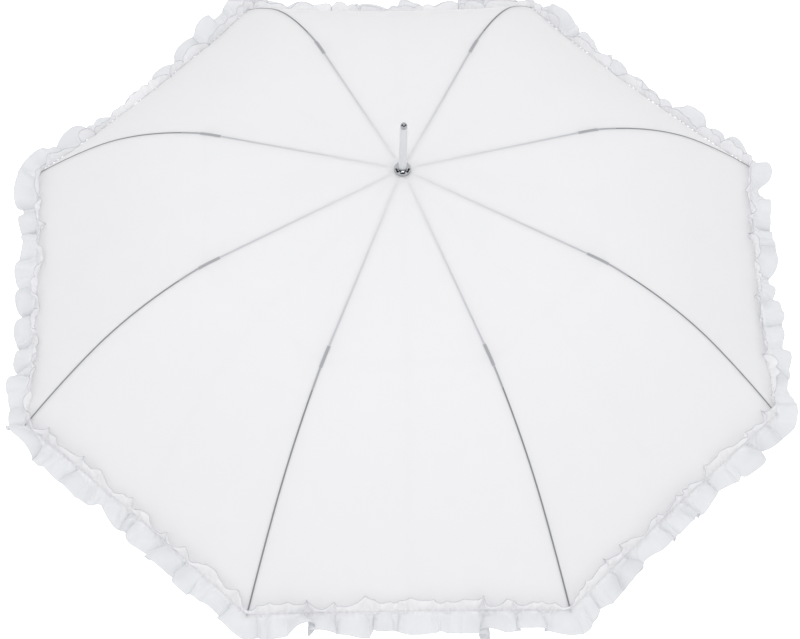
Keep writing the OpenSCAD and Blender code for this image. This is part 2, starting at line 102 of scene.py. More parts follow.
# %% Cloth outline
def cloth_line(ease):
    """The cloth's line over a rib, as arrays t, radius, height and slope.

    The slope is the inner rib's up to the elbow and then grows evenly along each bend. It is
    averaged over a stretch of ease on either side, which rounds the elbow off. Radius and
    height are the running sums of the slope's cosine and minus its sine, moved out along the
    normal by the cloth's lift.
    """
    start = -(RING_R - CLOTH_HOLE_R + CLOTH_LIFT * math.sin(INNER_SLOPE)) / math.cos(INNER_SLOPE)
    t = np.linspace(start, ROD_END, 1200)
    turn = (t[:, None] + np.linspace(-ease, ease, 81)[None, :] - INNER_LEN).clip(0, None)
    slope = INNER_SLOPE + (ROD_SLOPE - INNER_SLOPE) * (turn > 0)
    slope = slope + BEND_ANGLE * turn.clip(0, BEND_LEN) / BEND_LEN
    slope = slope + TAIL_ANGLE * (turn - BEND_LEN).clip(0, None) / TAIL_LEN
    slope = slope.mean(1)
    step = np.diff(t)
    mean = (slope[1:] + slope[:-1]) / 2
    r = RING_R + start * math.cos(INNER_SLOPE) + np.r_[0, np.cumsum(np.cos(mean) * step)]
    z = HINGE_Z - start * math.sin(INNER_SLOPE) - np.r_[0, np.cumsum(np.sin(mean) * step)]
    return t, r + CLOTH_LIFT * np.sin(slope), z + CLOTH_LIFT * np.cos(slope), slope


LINE_T, LINE_R, LINE_Z, LINE_SLOPE = cloth_line(ELBOW_EASE)
_, SOFT_R, SOFT_Z, SOFT_SLOPE = cloth_line(GORE_EASE)
HEM_R, HEM_Z, HEM_SLOPE = LINE_R[-1], LINE_Z[-1], LINE_SLOPE[-1]
HALF_CHORD = HEM_R * math.sin(STEP / 2)
print("hem radius", round(HEM_R, 4), "height", round(HEM_Z, 4))


# %% [markdown]
# ## Helpers
# One function turns a grid of points into a thin closed sheet, one paints a CAD node's faces, and
# one adds a shader node with its settings and links. Everything below uses these.

# %% Mesh helpers
def linear(hex_colour):
    """A #rrggbb sRGB colour as linear RGBA."""
    srgb = np.array([int(hex_colour[k : k + 2], 16) for k in (1, 3, 5)]) / 255
    rgb = np.where(srgb <= 0.04045, srgb / 12.92, ((srgb + 0.055) / 1.055) ** 2.4)
    return (*rgb.tolist(), 1.0)


def smooth(x):
    """0 below 0, 1 above 1, and the smooth cubic between."""
    x = np.clip(x, 0, 1)
    return x * x * (3 - 2 * x)


def grid_normals(p):
    """Unit normals of a grid of points, from the cross product of its two directions."""
    along = np.gradient(p, axis=0)
    across = np.gradient(p, axis=1)
    n = np.cross(along, across)
    return n / np.maximum(np.linalg.norm(n, axis=2, keepdims=True), 1e-12)


def sheet_mesh(name, points, normals, thick, values, material):
    """A closed thin sheet from a grid of points.

    The top layer lies half a thickness along the normals and the bottom layer half a thickness
    against them, and a strip of faces joins their rims. thick is a number or a grid. values
    holds named grids, which are stored as point attributes for the material.
    """
    rows, columns = points.shape[:2]
    half = np.broadcast_to(np.asarray(thick, float) / 2, (rows, columns))[..., None]
    top = (points + normals * half).reshape(-1, 3)
    bottom = (points - normals * half).reshape(-1, 3)
    size = rows * columns
    index = np.arange(size).reshape(rows, columns)
    a, b = index[:-1, :-1].ravel(), index[1:, :-1].ravel()
    c, d = index[1:, 1:].ravel(), index[:-1, 1:].ravel()
    faces = [np.stack([a, b, c, d], 1), np.stack([d, c, b, a], 1) + size]
    rim = np.r_[index[0, :-1], index[:-1, -1], index[-1, :0:-1], index[:0:-1, 0]]
    onward = np.roll(rim, -1)
    faces.append(np.stack([rim, onward, onward + size, rim + size], 1))
    faces = np.concatenate(faces)
    mesh = bpy.data.meshes.new(name)
    mesh.vertices.add(2 * size)
    mesh.vertices.foreach_set("co", np.concatenate([top, bottom]).astype(np.float32).ravel())
    mesh.loops.add(faces.size)
    mesh.loops.foreach_set("vertex_index", faces.astype(np.int32).ravel())
    mesh.polygons.add(len(faces))
    mesh.polygons.foreach_set("loop_start", np.arange(0, faces.size, 4, dtype=np.int32))
    mesh.update(calc_edges=True)
    mesh.validate()
    mesh.shade_smooth()
    for key, grid in values.items():
        attribute = mesh.attributes.new(key, "FLOAT", "POINT")
        attribute.data.foreach_set("value", np.tile(grid.ravel(), 2).astype(np.float32))
    flat = normals.reshape(-1, 3)
    mesh.normals_split_custom_set_from_vertices(np.concatenate([flat, -flat]))
    mesh.materials.append(material)
    obj = bpy.data.objects.new(name, mesh)
    bpy.context.scene.collection.objects.link(obj)
    return obj


def turned(points, angle):
    """Points or normals turned about the shaft's axis."""
    c, s = math.cos(angle), math.sin(angle)
    return points @ np.array([[c, s, 0], [-s, c, 0], [0, 0, 1]])


# %% Material helpers
def new_material(name, roughness=0.5, metallic=0.0, colour="#ffffff"):
    """A material with a Principled shader; returns it, its tree and the shader."""
    material = bpy.data.materials.new(name)
    material.use_nodes = True
    tree = material.node_tree
    shader = tree.nodes["Principled BSDF"]
    shader.inputs["Base Color"].default_value = linear(colour)
    shader.inputs["Roughness"].default_value = roughness
    shader.inputs["Metallic"].default_value = metallic
    return material, tree, shader


def add(tree, kind, settings=(), values=(), links=()):
    """Adds a shader node, sets its properties and input values, and links its inputs."""
    made = tree.nodes.new(kind)
    for key, value in dict(settings).items():
        setattr(made, key, value)
    for key, value in dict(values).items():
        made.inputs[key].default_value = value
    for key, socket in dict(links).items():
        tree.links.new(socket, made.inputs[key])
    return made


def maths(tree, operation, a, b=0.0, c=0.0):
    """One Math node; a, b and c are sockets or numbers."""
    made = add(tree, "ShaderNodeMath", {"operation": operation})
    for k, value in enumerate((a, b, c)):
        if isinstance(value, (int, float)):
            made.inputs[k].default_value = value
        else:
            tree.links.new(value, made.inputs[k])
    return made.outputs[0]


def band(tree, value, low, high, soft):
    """1 where value is between low and high and 0 outside, with soft edges that wide."""
    rise = add(tree, "ShaderNodeMapRange", {"interpolation_type": "SMOOTHSTEP"},
               {"From Min": low - soft, "From Max": low + soft}, {"Value": value})
    fall = add(tree, "ShaderNodeMapRange", {"interpolation_type": "SMOOTHSTEP"},
               {"From Min": high - soft, "From Max": high + soft, "To Min": 1.0, "To Max": 0.0},
               {"Value": value})
    return maths(tree, "MULTIPLY", rise.outputs[0], fall.outputs[0])


def mix_colour(tree, factor, a, b):
    """A blend of two colours, each a socket or a hex string."""
    made = add(tree, "ShaderNodeMix", {"data_type": "RGBA"})
    tree.links.new(factor, made.inputs[0])
    for slot, value in ((6, a), (7, b)):
        if isinstance(value, str):
            made.inputs[slot].default_value = linear(value)
        else:
            tree.links.new(value, made.inputs[slot])
    return made.outputs[2]


# %% [markdown]
# ## Canopy cloth
# The canopy is a white plain-weave polyester, thin enough for the ribs to show through. Where it
# is drawn tight over them, their grey is painted into the cloth's colour as lines of painted
# shade. The point attributes "along" (millimetres from the ring along the rib) and "beside"
# (millimetres from the rib's line) place those painted lines, the folded hem and its stitches.
# Translucency and a little straight transparency add real shade on top, so the real rods also
# darken the cloth from behind.


# %% Canopy cloth
# Noise scale of the weave, and in millimetres the stitch spacing and two limits never reached
WEAVE = 2600.0
STITCH = 2.5
NO_LIMIT, BEYOND_HEM = -9, 600


def weave_bump(tree, scale, strength):
    """Bump of a plain weave: fine grain on soft waves, in the object's own space."""
    place = add(tree, "ShaderNodeTexCoord").outputs["Object"]
    grain = add(tree, "ShaderNodeTexNoise", {}, {"Scale": scale, "Detail": 2.0}, {"Vector": place})
    soft = add(tree, "ShaderNodeTexNoise", {}, {"Scale": 14.0, "Detail": 3.0}, {"Vector": place})
    height = maths(tree, "MULTIPLY_ADD", soft.outputs[0], 4.0, grain.outputs[0])
    bump = add(tree, "ShaderNodeBump", {}, {"Strength": strength, "Distance": 0.0002},
               {"Height": height})
    return bump.outputs[0]


def cloth_shader(tree, shader, colour, normal, translucent, clear):
    """Sends the cloth to the output: a matt face, light through it, and a little open weave."""
    through = add(tree, "ShaderNodeBsdfTranslucent", {}, {}, {"Color": colour, "Normal": normal})
    body = add(tree, "ShaderNodeMixShader", {}, {0: translucent},
               {1: shader.outputs[0], 2: through.outputs[0]})
    holes = add(tree, "ShaderNodeBsdfTransparent")
    cloth = add(tree, "ShaderNodeMixShader", {}, {0: clear},
                {1: body.outputs[0], 2: holes.outputs[0]})
    tree.links.new(colour, shader.inputs["Base Color"])
    tree.links.new(normal, shader.inputs["Normal"])
    tree.links.new(cloth.outputs[0], tree.nodes["Material Output"].inputs["Surface"])


def canopy_material():
    """White polyester with painted shade of the grey ribs under it, and a row of stitches on the
    hem's fold.
    """
    material, tree, shader = new_material("white polyester canopy", 0.75)
    shader.inputs["Specular IOR Level"].default_value = 0.25
    along = add(tree, "ShaderNodeAttribute", {"attribute_name": "along"}).outputs["Fac"]
    beside = add(tree, "ShaderNodeAttribute", {"attribute_name": "beside"}).outputs["Fac"]
    aside = maths(tree, "ABSOLUTE", beside)
    elbow, sleeve_end, hem = INNER_LEN / MM, SLEEVE_END / MM, ROD_END / MM

    def shade(low, high, fade, half, soft):
        """1 over a part of the rib from low to high along it and half its width to each side."""
        length = band(tree, along, low, high, fade)
        return maths(tree, "MULTIPLY", length, band(tree, aside, NO_LIMIT, half, soft))

    # painted shade of the zinc channel, the elbow bracket, the crimped sleeve and the rod under
    # the cloth, from the crown outwards
    channel_shade = shade(26, elbow - 22, 3, 1.3, 0.6)
    bracket_shade = shade(elbow - 22, elbow + 7, 0.8, 2.3, 0.7)
    sleeve = shade(elbow + 7, sleeve_end, 0.8, 1.3, 0.5)
    rod = shade(sleeve_end, BEYOND_HEM, 0.8, 1.05, 0.5)
    # near the crown the cloth lies looser over the channels, so their painted shade is weaker
    # there
    tighter = add(tree, "ShaderNodeMapRange", {}, {"From Min": 40.0, "From Max": 230.0},
                  {"Value": along})
    channel_shade = maths(tree, "MULTIPLY", channel_shade, tighter.outputs[0])
    # the grey colours below are painted shade, where the parts under the cloth would show through
    colour = mix_colour(tree, channel_shade, "#f6f6f7", "#dfe0e4")
    colour = mix_colour(tree, bracket_shade, colour, "#cdced2")
    colour = mix_colour(tree, sleeve, colour, "#c9cace")
    colour = mix_colour(tree, rod, colour, "#a2a3a8")
    # a row of stitches along the hem's fold, 11 mm in from its edge
    fold_line = band(tree, along, hem - 11.5, hem - 11.0, 0.25)
    wave = maths(tree, "SINE", maths(tree, "MULTIPLY", beside, math.tau / STITCH))
    stitch = maths(tree, "MULTIPLY", maths(tree, "GREATER_THAN", wave, 0.1), 0.5)
    colour = mix_colour(tree, maths(tree, "MULTIPLY", fold_line, stitch), colour, "#d9dade")
    normal = weave_bump(tree, WEAVE, 0.10)
    cloth_shader(tree, shader, colour, normal, 0.42, 0.04)
    return material


def frill_material():
    """The same cloth cut thinner: it lets more light through, its rolled edges are denser, and its
    header is painted lighter to lift the shade beside the canopy.
    """
    material, tree, shader = new_material("sheer white frill", 0.7)
    shader.inputs["Specular IOR Level"].default_value = 0.25
    across = add(tree, "ShaderNodeAttribute", {"attribute_name": "across"}).outputs["Fac"]
    inner, outer = -HEADER / MM, SKIRT / MM
    header_edge = band(tree, across, inner - 1, inner + 0.6, 0.3)
    edge = maths(tree, "ADD", header_edge, band(tree, across, outer - 0.6, outer + 1, 0.3))
    seam = band(tree, across, -0.5, 0.5, 0.3)
    # painted light: the header and the seam are painted lighter than the skirt, to lift the shade
    # that falls between the header and the canopy
    fold = band(tree, across, -60, 3, 3)
    colour = mix_colour(tree, fold, "#eeeff1", "#fdfdfe")
    colour = mix_colour(tree, edge, colour, "#ecedf1")
    colour = mix_colour(tree, seam, colour, "#f2f2f5")
    normal = weave_bump(tree, WEAVE, 0.12)
    cloth_shader(tree, shader, colour, normal, 0.5, 0.18)
    return material


CANOPY = canopy_material()
FRILL = frill_material()
print("cloth materials:", CANOPY.name, "and", FRILL.name)

# %% [markdown]
# ## Canopy panels
# A real canopy is eight triangular gores sewn together along the ribs. Each gore is drawn
# straight from rib to rib, and pulls in a little between them. Here it is cut the other way,
# into one piece over each rib, because each piece then moves with its own rib; the cuts along
# the middle of the gores lie in flat cloth, where they can't be seen.


# %% Canopy panels
# How far the cloth is drawn in between the ribs at the hem, and the height of its low waves
PULL, RIPPLE = 7.0 * MM, 0.35 * MM


def soft_mix(t, tight_line, soft_line, tight):
    """Values along t, from the tight line where tight is 1 and from the soft one where it is 0."""
    near, far = np.interp(t, LINE_T, tight_line), np.interp(t, LINE_T, soft_line)
    return near[:, None] * tight + far[:, None] * (1 - tight)


def canopy_piece(first, last, rows, columns):
    """The cloth over a rib from t = first to t = last, as a grid of points and its attributes.

    Each row runs from the middle of one gore over the rib to the middle of the next, along the
    two straight chords. The cloth between the ribs is drawn inwards by a share that grows
    towards the hem, as a parabola across the gore. Two low waves stand for the pull of the
    rib tips and of the crown.
    """
    t = np.linspace(first, last, rows)
    q = np.linspace(-1, 1, columns)
    away = np.abs(q)
    tight = (1 - smooth(away * 2.2))[None, :]
    r = soft_mix(t, LINE_R, SOFT_R, tight)
    z = soft_mix(t, LINE_Z, SOFT_Z, tight)
    slope = soft_mix(t, LINE_SLOPE, SOFT_SLOPE, tight)
    x = r * (1 - away * (1 - math.cos(STEP / 2) ** 2))
    y = np.sign(q) * away * r * math.cos(STEP / 2) * math.sin(STEP / 2)
    share = (t / ROD_END).clip(0, 1)[:, None]
    pull = PULL * share**1.5 * (1 - (1 - away) ** 2)
    ripple = RIPPLE * share**3 * np.sin(away * 9 + 5 * share) * away * (1 - away) * 4
    turn = np.sign(q)[None, :] * STEP / 2
    inward = pull + ripple
    x = x - inward * np.sin(slope) * np.cos(turn)
    y = y - inward * np.sin(slope) * np.sin(turn)
    points = np.stack([x, y, z - inward * np.cos(slope)], 2)
    along = np.broadcast_to(t[:, None] / MM, x.shape)
    beside = np.hypot(x - r, y) * np.sign(q)[None, :] / MM
    return points, along, beside


def canopy_part(first, last, rows, columns=65):
    """A stretch of the cloth with its outward normals, and its two attributes.

    The stretch is made one row too long at each end and trimmed again, so that its normals at
    the cut match the next stretch's.
    """
    step = (last - first) / (rows - 1)
    low, high = max(first - step, LINE_T[0]), min(last + step, LINE_T[-1])
    count = 1 + round((high - low) / step)
    points, along, beside = canopy_piece(low, high, count, columns)
    normals = grid_normals(points)
    normals = np.where(normals[..., 2:3] < 0, -normals, normals)
    keep = slice(int(low < first), count - int(high > last))
    return points[keep], normals[keep], along[keep], beside[keep]


# %% Canopy pieces
def make_canopy():
    """Sixteen cloth pieces: an inner and an outer one over each rib."""
    made = []
    for i in range(1, RIBS + 1):
        angle = FIRST_RIB + (i - 1) * STEP
        spans = (
            ("inner", LINE_T[0], INNER_LEN, f"rib_{i}", 56),
            ("outer", INNER_LEN, ROD_END, f"rod_{i}", 72),
        )
        for part, first, last, body, rows in spans:
            points, normals, along, beside = canopy_part(first, last, rows)
            points, normals = turned(points, angle), turned(normals, angle)
            obj = sheet_mesh(f"canopy_{part}_{i}_cloth", points, normals, CLOTH_T,
                             {"along": along, "beside": beside}, CANOPY)
            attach(obj, body)
            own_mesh(obj)
            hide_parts(f"canopy_{part}_{i}")
            made.append(obj)
    return made


canopy = make_canopy()
print("canopy pieces:", len(canopy))

# %% [markdown]
# ## Gathered frill
# The frill is a long strip of thin crisp cloth, sewn 19 mm from its inner edge with a gathering
# thread. Along the seam the cloth is bunched in fine pleats; away from it they join into wide
# uneven flaps with narrow pinches between them, which stand out nearly level all round. A
# simulated strip would hang limp, so the folds are drawn as a wandering wave whose phase runs
# on unbroken round the whole hem.

# %% Gathered frill
SEAM_INSET = 4 * MM
HEM_LENGTH = 2 * RIBS * HALF_CHORD
FLAPS = 70
CREASES = 171
PLEATS = 420

# What varies round the hem: by how much, then the seed, the fewest and most turns round the
# hem, and how fast the quicker waves weaken
WAVES = {
    "droop": (math.radians(30), 17, 7, 60, 0.3),
    "rise": (math.radians(16), 23, 12, 90, 0.3),
    "longer": (0.17, 31, 16, 110, 0.2),
    "phase": (1.9, 3, 5, 75, 0.35),
    "crease": (1.6, 44, 9, 150, 0.2),
    "pleat": (2.2, 21, 30, 300, 0.5),
    "shift": (0.8, 8, 14, 90, 0.2),
    "swell": (0.75, 5, 14, 90, 0.15),
    "ruck": (0.6, 14, 20, 140, 0.1),
    "lean": (0.8, 12, 12, 80, 0.2),
}
DROOP, RISE = math.radians(22), math.radians(24)

# Height of the flaps, creases and pleats, outside and inside the seam, and how far they reach
FLAP_OUT, FLAP_IN = 20.0 * MM, 10.0 * MM
CREASE_OUT, CREASE_IN = 3.8 * MM, 2.2 * MM
PLEAT_DEEP, PLEAT_REACH = 0.6 * MM, 6 * MM
TIP_REACH, CORNER_REACH = 26 * MM, 22 * MM
TIP_FULLER = 0.12
CLEAR_OF_CLOTH = 0.45 * MM
ROLL_THICK, ROLL_WIDE = 0.35 * MM, 0.7 * MM
print("frill:", FLAPS, "flaps and", PLEATS, "pleats on", round(HEM_LENGTH, 3), "m of hem")


# %% Waves round the hem
def wander(s, seed, lowest, highest, falling):
    """A smooth random wave in s that closes on itself round the hem, about -1 to 1.

    It is a sum of sines with whole numbers of turns round the hem from lowest to highest, each
    with a random phase, and weaker as the number of turns grows.
    """
    rng = np.random.default_rng(seed)
    turns = np.unique(np.geomspace(lowest, highest, 14).astype(int))
    total = np.zeros_like(s)
    weight = 0.0
    for n in turns:
        strength = n**-falling
        total = total + strength * np.sin(math.tau * n * s / HEM_LENGTH + rng.uniform(0, math.tau))
        weight += strength**2
    return total / math.sqrt(weight / 2) / 1.6


def frill_profile(v, droop, rise):
    """Where the strip runs in its own plane: distances out and down, for a droop and a rise.

    v is the distance across from the seam. The slope below level goes from the canopy's own at
    the seam to droop at the skirt's edge within a third of the skirt. Inside the seam the strip
    leaves the canopy by rise, also gradually. The distances are sums of the slope's cosine and
    sine. droop and rise are one number for each place along the hem.
    """
    outer = smooth(v / SKIRT * 3)[:, None]
    inner = smooth(-v / HEADER * 2.5)[:, None]
    skirt = HEM_SLOPE + (droop[None, :] - HEM_SLOPE) * outer
    header = HEM_SLOPE + rise[None, :] * inner
    slope = np.where(v[:, None] > 0, skirt, header)
    mean = (slope[1:] + slope[:-1]) / 2
    step = np.diff(v)[:, None]
    start = np.zeros((1, slope.shape[1]))
    out = np.concatenate([start, np.cumsum(np.cos(mean) * step, 0)])
    down = np.concatenate([start, np.cumsum(np.sin(mean) * step, 0)])
    seam = int(np.argmin(np.abs(v)))
    return out - out[seam], down - down[seam], slope


# %% One piece of frill
def frill_piece(i, columns=560, rows_in=13, rows_out=25):
    """The frill beside rib i, as a grid of points with its thickness and its attribute.

    s runs along the hem, from one gore's middle round the rib tip to the next. v runs across,
    from the header's edge over the seam at 0 to the skirt's edge. Wide flaps with narrow
    pinches between them push the cloth along the base's normal by the root of a half-angle
    sine squared, and slide it sideways by a sine that tightens each pinch. Creases at nearly
    three times the rate break the flaps up, and fine pleats crowd the seam.
    """
    s = np.linspace(-HALF_CHORD, HALF_CHORD, columns)
    hem_s = s + (2 * i - 1) * HALF_CHORD
    v = np.r_[np.linspace(-HEADER, 0, rows_in, endpoint=False), np.linspace(0, SKIRT, rows_out)]
    seam_t = ROD_END - SEAM_INSET
    cloth, _, _ = canopy_piece(seam_t - 60 * MM, seam_t, 40, columns)
    base = cloth[-1][None]
    side = np.clip(s / CORNER_REACH, -1, 1)
    turn = side * (1.5 - 0.5 * side**2) * STEP / 2
    wave = {}
    for name, (amount, *setting) in WAVES.items():
        wave[name] = amount * wander(hem_s, *setting)
    # how the strip is held: some lengths droop and some stand up, and the tips are fuller
    out, down, slope = frill_profile(v, DROOP + wave["droop"], RISE + wave["rise"])
    tip = np.exp(-((s / TIP_REACH) ** 2))
    longer = 1 + wave["longer"] + TIP_FULLER * tip
    # the flaps' phase runs on round the hem, faster and slower, and shifts across the strip
    turn_round = math.tau * hem_s / HEM_LENGTH
    phase = FLAPS * turn_round + wave["phase"]
    crease = CREASES * turn_round + wave["crease"]
    pleat = PLEATS * turn_round + wave["pleat"]
    shift, lean = wave["shift"], wave["lean"]
    swell = (0.85 + wave["swell"]).clip(0.2, 1.9)
    ruck = (0.55 + wave["ruck"]).clip(0.05, 1.4)
    outer = (v > 0)[:, None]
    reach = (np.abs(v) / np.where(v > 0, SKIRT, HEADER))[:, None]
    grown = smooth(reach * 1.2) ** 0.6
    p = phase[None, :] + shift[None, :] * reach * np.where(outer, 1, -1)
    q = crease[None, :] + 1.1 * shift[None, :] * reach
    flap = np.sqrt(np.sin(p / 2) ** 2 + 0.012) - 0.62
    tall = np.where(outer, FLAP_OUT, FLAP_IN) * grown * swell[None, :]
    rough = np.where(outer, CREASE_OUT, CREASE_IN) * smooth(reach * 2.2) * ruck[None, :]
    pinch = PLEAT_DEEP * np.exp(-np.abs(v) / PLEAT_REACH)[:, None]
    push = tall * flap + rough * np.sin(q) + pinch * np.sin(pleat)[None, :]
    push = push + np.where(outer, 0.4 * MM, 0.4 * MM + 4.0 * MM * reach)
    slide = -0.42 * tall * np.sin(p) + lean[None, :] * tall * 0.5 * flap
    slide = slide * np.where(outer, 1.0, 0.6)
    slide = slide - 0.5 * rough * np.cos(q)
    outward = np.stack([np.cos(turn), np.sin(turn), 0 * turn], 1)[None]
    onward = np.stack([-np.sin(turn), np.cos(turn), 0 * turn], 1)[None]
    up = np.array([0.0, 0.0, 1.0])
    across = (out * longer)[..., None] * outward - (down * longer)[..., None] * up
    normal = np.sin(slope)[..., None] * outward + np.cos(slope)[..., None] * up
    points = base + across + normal * push[..., None] + onward * slide[..., None]
    points = settle(points, cloth)
    roll = np.minimum(v + HEADER, SKIRT - v)
    thick = CLOTH_T * 0.8 + ROLL_THICK * np.exp(-((roll / ROLL_WIDE) ** 2))
    grid_v = np.broadcast_to(v[:, None] / MM, points.shape[:2])
    return points, np.broadcast_to(thick[:, None], points.shape[:2]), grid_v


def settle(points, cloth):
    """Lifts what would lie inside the canopy to just above its cloth.

    Each column of the strip is held against the same column of the canopy, both measured
    square to the hem's chord.
    """
    lifted = points.copy()
    for column in range(points.shape[1]):
        side = math.copysign(STEP / 2, column - points.shape[1] // 2)
        square = np.array([math.cos(side), math.sin(side)])
        place = points[:, column, :2] @ square
        under = cloth[:, column, :2] @ square
        height = np.interp(place, under, cloth[:, column, 2]) + CLEAR_OF_CLOTH
        inside = place < under[-1]
        lifted[inside, column, 2] = np.maximum(points[inside, column, 2], height[inside])
    return lifted


# %% Frill pieces
def make_frill():
    """Eight pieces of frill, one beside each rib tip, each moving with its rod."""
    made = []
    for i in range(1, RIBS + 1):
        angle = FIRST_RIB + (i - 1) * STEP
        points, thick, across = frill_piece(i)
        normals = grid_normals(points)
        points, normals = turned(points, angle), turned(normals, angle)
        obj = sheet_mesh(f"frill_{i}_cloth", points, normals, thick, {"across": across}, FRILL)
        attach(obj, f"rod_{i}")
        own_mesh(obj)
        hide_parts(f"frill_{i}")
        made.append(obj)
    return made


frill = make_frill()
print("frill pieces:", len(frill))

# %% [markdown]
# ## Metal, plastic and wood
# The frame's hard pieces are shown as they were designed. The ribs and stretchers are zinc
# plated steel strip, the rods pultruded glass fibre, the dome and ball chrome plated brass, the
# notch, runner and ferrule moulded white plastic, and the handle turned wood under white lacquer.


# %% Metal, plastic and wood
def zinc_material():
    """Zinc plated strip: satin, with faint drawn streaks and cloudy patches."""
    material, tree, shader = new_material("zinc plated steel strip", 0.34, 1.0, "#b9bcc0")
    place = add(tree, "ShaderNodeTexCoord").outputs["Object"]
    cloud = add(tree, "ShaderNodeTexNoise", {}, {"Scale": 220.0, "Detail": 4.0}, {"Vector": place})
    rough = add(tree, "ShaderNodeMapRange", {}, {"To Min": 0.26, "To Max": 0.44},
                {"Value": cloud.outputs[0]})
    tree.links.new(rough.outputs[0], shader.inputs["Roughness"])
    return material


def chrome_material():
    """Polished chrome plate with the faintest haze."""
    material, tree, shader = new_material("polished chrome", 0.04, 1.0, "#babcc0")
    place = add(tree, "ShaderNodeTexCoord").outputs["Object"]
    haze = add(tree, "ShaderNodeTexNoise", {}, {"Scale": 300.0, "Detail": 3.0}, {"Vector": place})
    rough = add(tree, "ShaderNodeMapRange", {}, {"To Min": 0.02, "To Max": 0.09},
                {"Value": haze.outputs[0]})
    tree.links.new(rough.outputs[0], shader.inputs["Roughness"])
    return material


def glass_fibre_material():
    """Grey pultruded rod: fine fibres under a satin resin skin."""
    material, tree, shader = new_material("pultruded glass fibre rod", 0.35, 0.0, "#5c5e63")
    place = add(tree, "ShaderNodeTexCoord").outputs["Object"]
    fibre = add(tree, "ShaderNodeTexNoise", {}, {"Scale": 900.0, "Detail": 2.0}, {"Vector": place})
    tone = mix_colour(tree, fibre.outputs[0], "#4f5156", "#6d6f75")
    tree.links.new(tone, shader.inputs["Base Color"])
    return material


def plastic_material():
    """Glossy white moulded plastic with a trace of texture."""
    material, tree, shader = new_material("moulded white plastic", 0.28, 0.0, "#dcdde0")
    place = add(tree, "ShaderNodeTexCoord").outputs["Object"]
    skin = add(tree, "ShaderNodeTexNoise", {}, {"Scale": 700.0, "Detail": 2.0}, {"Vector": place})
    bump = add(tree, "ShaderNodeBump", {}, {"Strength": 0.06, "Distance": 0.0002},
               {"Height": skin.outputs[0]})
    tree.links.new(bump.outputs[0], shader.inputs["Normal"])
    return material


def painted_tube_material():
    """White stoved paint on the steel tube, with a soft orange-peel skin."""
    material, tree, shader = new_material("white stoved paint", 0.22, 0.0, "#eeeeef")
    shader.inputs["Coat Weight"].default_value = 0.4
    place = add(tree, "ShaderNodeTexCoord").outputs["Object"]
    peel = add(tree, "ShaderNodeTexNoise", {}, {"Scale": 420.0, "Detail": 1.0}, {"Vector": place})
    bump = add(tree, "ShaderNodeBump", {}, {"Strength": 0.08, "Distance": 0.0003},
               {"Height": peel.outputs[0]})
    tree.links.new(bump.outputs[0], shader.inputs["Normal"])
    return material


def lacquer_material():
    """White lacquer over turned wood: the grain still shows as very shallow lines."""
    material, tree, shader = new_material("white lacquered wood", 0.24, 0.0, "#f3f1ec")
    shader.inputs["Coat Weight"].default_value = 0.6
    shader.inputs["Coat Roughness"].default_value = 0.08
    place = add(tree, "ShaderNodeTexCoord").outputs["Object"]
    long_way = add(tree, "ShaderNodeMapping", {}, {"Scale": (1.0, 1.0, 0.06)}, {"Vector": place})
    grain = add(tree, "ShaderNodeTexNoise", {}, {"Scale": 600.0, "Detail": 3.0},
                {"Vector": long_way.outputs[0]})
    bump = add(tree, "ShaderNodeBump", {}, {"Strength": 0.12, "Distance": 0.0003},
               {"Height": grain.outputs[0]})
    tree.links.new(bump.outputs[0], shader.inputs["Normal"])
    return material


ZINC = zinc_material()
CHROME = chrome_material()
ROD = glass_fibre_material()
PLASTIC = plastic_material()
TUBE = painted_tube_material()
LACQUER = lacquer_material()


def finish_node(name, *materials):
    """Gives a CAD node its materials, the first one everywhere."""
    data = nodes[name].data
    data.materials.clear()
    for material in materials:
        data.materials.append(material)
    data.polygons.foreach_set("material_index", np.zeros(len(data.polygons), np.int32))


def face_centres(name):
    """The middle of each face of a CAD node, as an array of points."""
    data = nodes[name].data
    centres = np.zeros(len(data.polygons) * 3, np.float32)
    data.polygons.foreach_get("center", centres)
    return centres.reshape(-1, 3).astype(float)


def paint_rods():
    """The sleeve end of each outer rod is zinc, its tip cap white plastic, and the rest fibre."""
    for i in range(1, RIBS + 1):
        name = f"rib_outer_{i}"
        finish_node(name, ROD, ZINC, PLASTIC)
        centres = face_centres(name)
        radius = np.hypot(centres[:, 0], centres[:, 1])
        sleeve_r = np.interp(SLEEVE_END, LINE_T, LINE_R) - CLOTH_LIFT * math.sin(ROD_SLOPE)
        cap_t = ROD_END - TIP_CAP_LEN
        cap_r = np.interp(cap_t, LINE_T, LINE_R) - CLOTH_LIFT * math.sin(HEM_SLOPE) - 0.8 * MM
        index = np.where(radius < sleeve_r, 1, np.where(radius > cap_r, 2, 0))
        nodes[name].data.polygons.foreach_set("material_index", index.astype(np.int32))


for name in ("notch_ring", "runner_ring", "cross_pins", "top_catch", "bottom_catch"):
    finish_node(name, ZINC)
for i in range(1, RIBS + 1):
    finish_node(f"rib_inner_{i}", ZINC)
    finish_node(f"stretcher_{i}", ZINC)
for name in ("crown_cap", "tip_ball"):
    finish_node(name, CHROME)
for name in ("top_notch", "runner", "ferrule"):
    finish_node(name, PLASTIC)
finish_node("shaft", TUBE)
finish_node("handle", LACQUER)
paint_rods()
print("hard pieces finished")

# %% [markdown]
# ## Studio
# The parasol stands upright over a plain white floor in even white light, with a soft lamp above
# it and a weaker one in front. Dark boards stand out of view so that the chrome has something to
# reflect. The camera looks down from in front with a long lens.

# %% Floor
CROWN = Vector((0, 0, HINGE_Z + 4.6 * MM))
FLOOR_SIZE, FLOOR_GAP = 30.0, 2 * MM
SEEN_GLOW, CAST_GLOW = 0.68, 0.05


